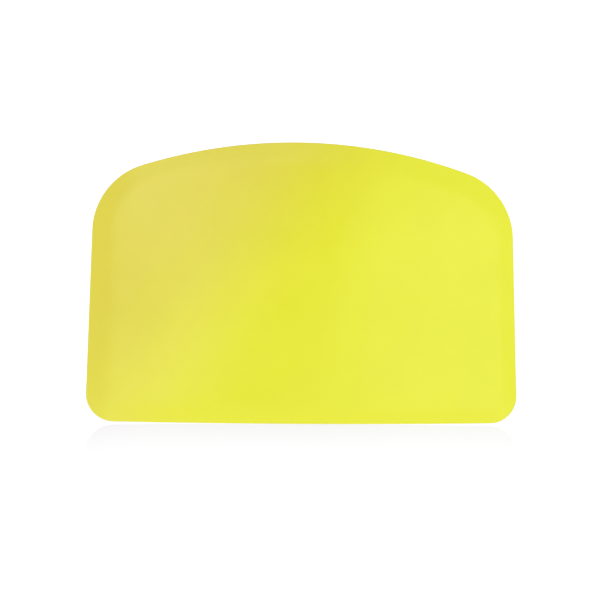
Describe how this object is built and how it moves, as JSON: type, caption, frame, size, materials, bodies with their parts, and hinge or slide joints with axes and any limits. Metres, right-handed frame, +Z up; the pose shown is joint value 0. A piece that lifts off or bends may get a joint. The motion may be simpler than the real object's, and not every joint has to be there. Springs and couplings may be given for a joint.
{
  "type": "flexible hand scraper",
  "caption": "Thin flexible plastic hand scraper with an arched edge, a long straight edge, rounded corners and a rim that thins out, free to curl either way.",
  "frame": {"origin": "middle of the long straight edge at its lowest point, half way through the thickness", "axes": "+X along the long edge to the picture's right, +Y through the thickness away from the pictured face, +Z up from the long edge to the top of the arch"},
  "size_m": [0.15, 0.0022, 0.098],
  "materials": {
    "sheet": "lemon yellow moulded polyolefin, self-coloured, satin with a very fine texture that hazes its reflections"
  },
  "bodies": {
    "centre": {"centre_strip": "sheet"},
    "left_1": {"left_strip_1": "sheet"},
    "left_2": {"left_strip_2": "sheet"},
    "left_3": {"left_strip_3": "sheet"},
    "left_4": {"left_strip_4": "sheet"},
    "left_5": {"left_strip_5": "sheet"},
    "left_6": {"left_strip_6": "sheet"},
    "left_7": {"left_strip_7": "sheet"},
    "right_1": {"right_strip_1": "sheet"},
    "right_2": {"right_strip_2": "sheet"},
    "right_3": {"right_strip_3": "sheet"},
    "right_4": {"right_strip_4": "sheet"},
    "right_5": {"right_strip_5": "sheet"},
    "right_6": {"right_strip_6": "sheet"},
    "right_7": {"right_strip_7": "sheet"}
  },
  "joints": [
    {"name": "left_flex_1", "type": "hinge", "parent": "centre", "child": "left_1", "pos_m": [-0.005, 0, 0.049], "axis": [0, 0, 1], "range_deg": [-7, 7], "stiffness_Nm_per_rad": 4},
    {"name": "left_flex_2", "type": "hinge", "parent": "left_1", "child": "left_2", "pos_m": [-0.015, 0, 0.049], "axis": [0, 0, 1], "range_deg": [-7, 7], "stiffness_Nm_per_rad": 4},
    {"name": "left_flex_3", "type": "hinge", "parent": "left_2", "child": "left_3", "pos_m": [-0.025, 0, 0.049], "axis": [0, 0, 1], "range_deg": [-7, 7], "stiffness_Nm_per_rad": 4},
    {"name": "left_curl", "type": "hinge", "parent": "left_3", "child": "left_4", "pos_m": [-0.035, 0, 0.049], "axis": [0, 0, 1], "range_deg": [-7, 7], "stiffness_Nm_per_rad": 4},
    {"name": "left_flex_5", "type": "hinge", "parent": "left_4", "child": "left_5", "pos_m": [-0.045, 0, 0.049], "axis": [0, 0, 1], "range_deg": [-7, 7], "stiffness_Nm_per_rad": 4},
    {"name": "left_flex_6", "type": "hinge", "parent": "left_5", "child": "left_6", "pos_m": [-0.055, 0, 0.049], "axis": [0, 0, 1], "range_deg": [-7, 7], "stiffness_Nm_per_rad": 4},
    {"name": "left_flex_7", "type": "hinge", "parent": "left_6", "child": "left_7", "pos_m": [-0.065, 0, 0.049], "axis": [0, 0, 1], "range_deg": [-7, 7], "stiffness_Nm_per_rad": 4},
    {"name": "right_flex_1", "type": "hinge", "parent": "centre", "child": "right_1", "pos_m": [0.005, 0, 0.049], "axis": [0, 0, -1], "range_deg": [-7, 7], "stiffness_Nm_per_rad": 4},
    {"name": "right_flex_2", "type": "hinge", "parent": "right_1", "child": "right_2", "pos_m": [0.015, 0, 0.049], "axis": [0, 0, -1], "range_deg": [-7, 7], "stiffness_Nm_per_rad": 4},
    {"name": "right_flex_3", "type": "hinge", "parent": "right_2", "child": "right_3", "pos_m": [0.025, 0, 0.049], "axis": [0, 0, -1], "range_deg": [-7, 7], "stiffness_Nm_per_rad": 4},
    {"name": "right_curl", "type": "hinge", "parent": "right_3", "child": "right_4", "pos_m": [0.035, 0, 0.049], "axis": [0, 0, -1], "range_deg": [-7, 7], "stiffness_Nm_per_rad": 4},
    {"name": "right_flex_5", "type": "hinge", "parent": "right_4", "child": "right_5", "pos_m": [0.045, 0, 0.049], "axis": [0, 0, -1], "range_deg": [-7, 7], "stiffness_Nm_per_rad": 4},
    {"name": "right_flex_6", "type": "hinge", "parent": "right_5", "child": "right_6", "pos_m": [0.055, 0, 0.049], "axis": [0, 0, -1], "range_deg": [-7, 7], "stiffness_Nm_per_rad": 4},
    {"name": "right_flex_7", "type": "hinge", "parent": "right_6", "child": "right_7", "pos_m": [0.065, 0, 0.049], "axis": [0, 0, -1], "range_deg": [-7, 7], "stiffness_Nm_per_rad": 4}
  ],
  "couplings": [
    {"joint": "left_flex_1", "follows": "left_curl", "ratio": 1},
    {"joint": "left_flex_2", "follows": "left_curl", "ratio": 1},
    {"joint": "left_flex_3", "follows": "left_curl", "ratio": 1},
    {"joint": "left_flex_5", "follows": "left_curl", "ratio": 1},
    {"joint": "left_flex_6", "follows": "left_curl", "ratio": 1},
    {"joint": "left_flex_7", "follows": "left_curl", "ratio": 1},
    {"joint": "right_flex_1", "follows": "right_curl", "ratio": 1},
    {"joint": "right_flex_2", "follows": "right_curl", "ratio": 1},
    {"joint": "right_flex_3", "follows": "right_curl", "ratio": 1},
    {"joint": "right_flex_5", "follows": "right_curl", "ratio": 1},
    {"joint": "right_flex_6", "follows": "right_curl", "ratio": 1},
    {"joint": "right_flex_7", "follows": "right_curl", "ratio": 1}
  ]
}
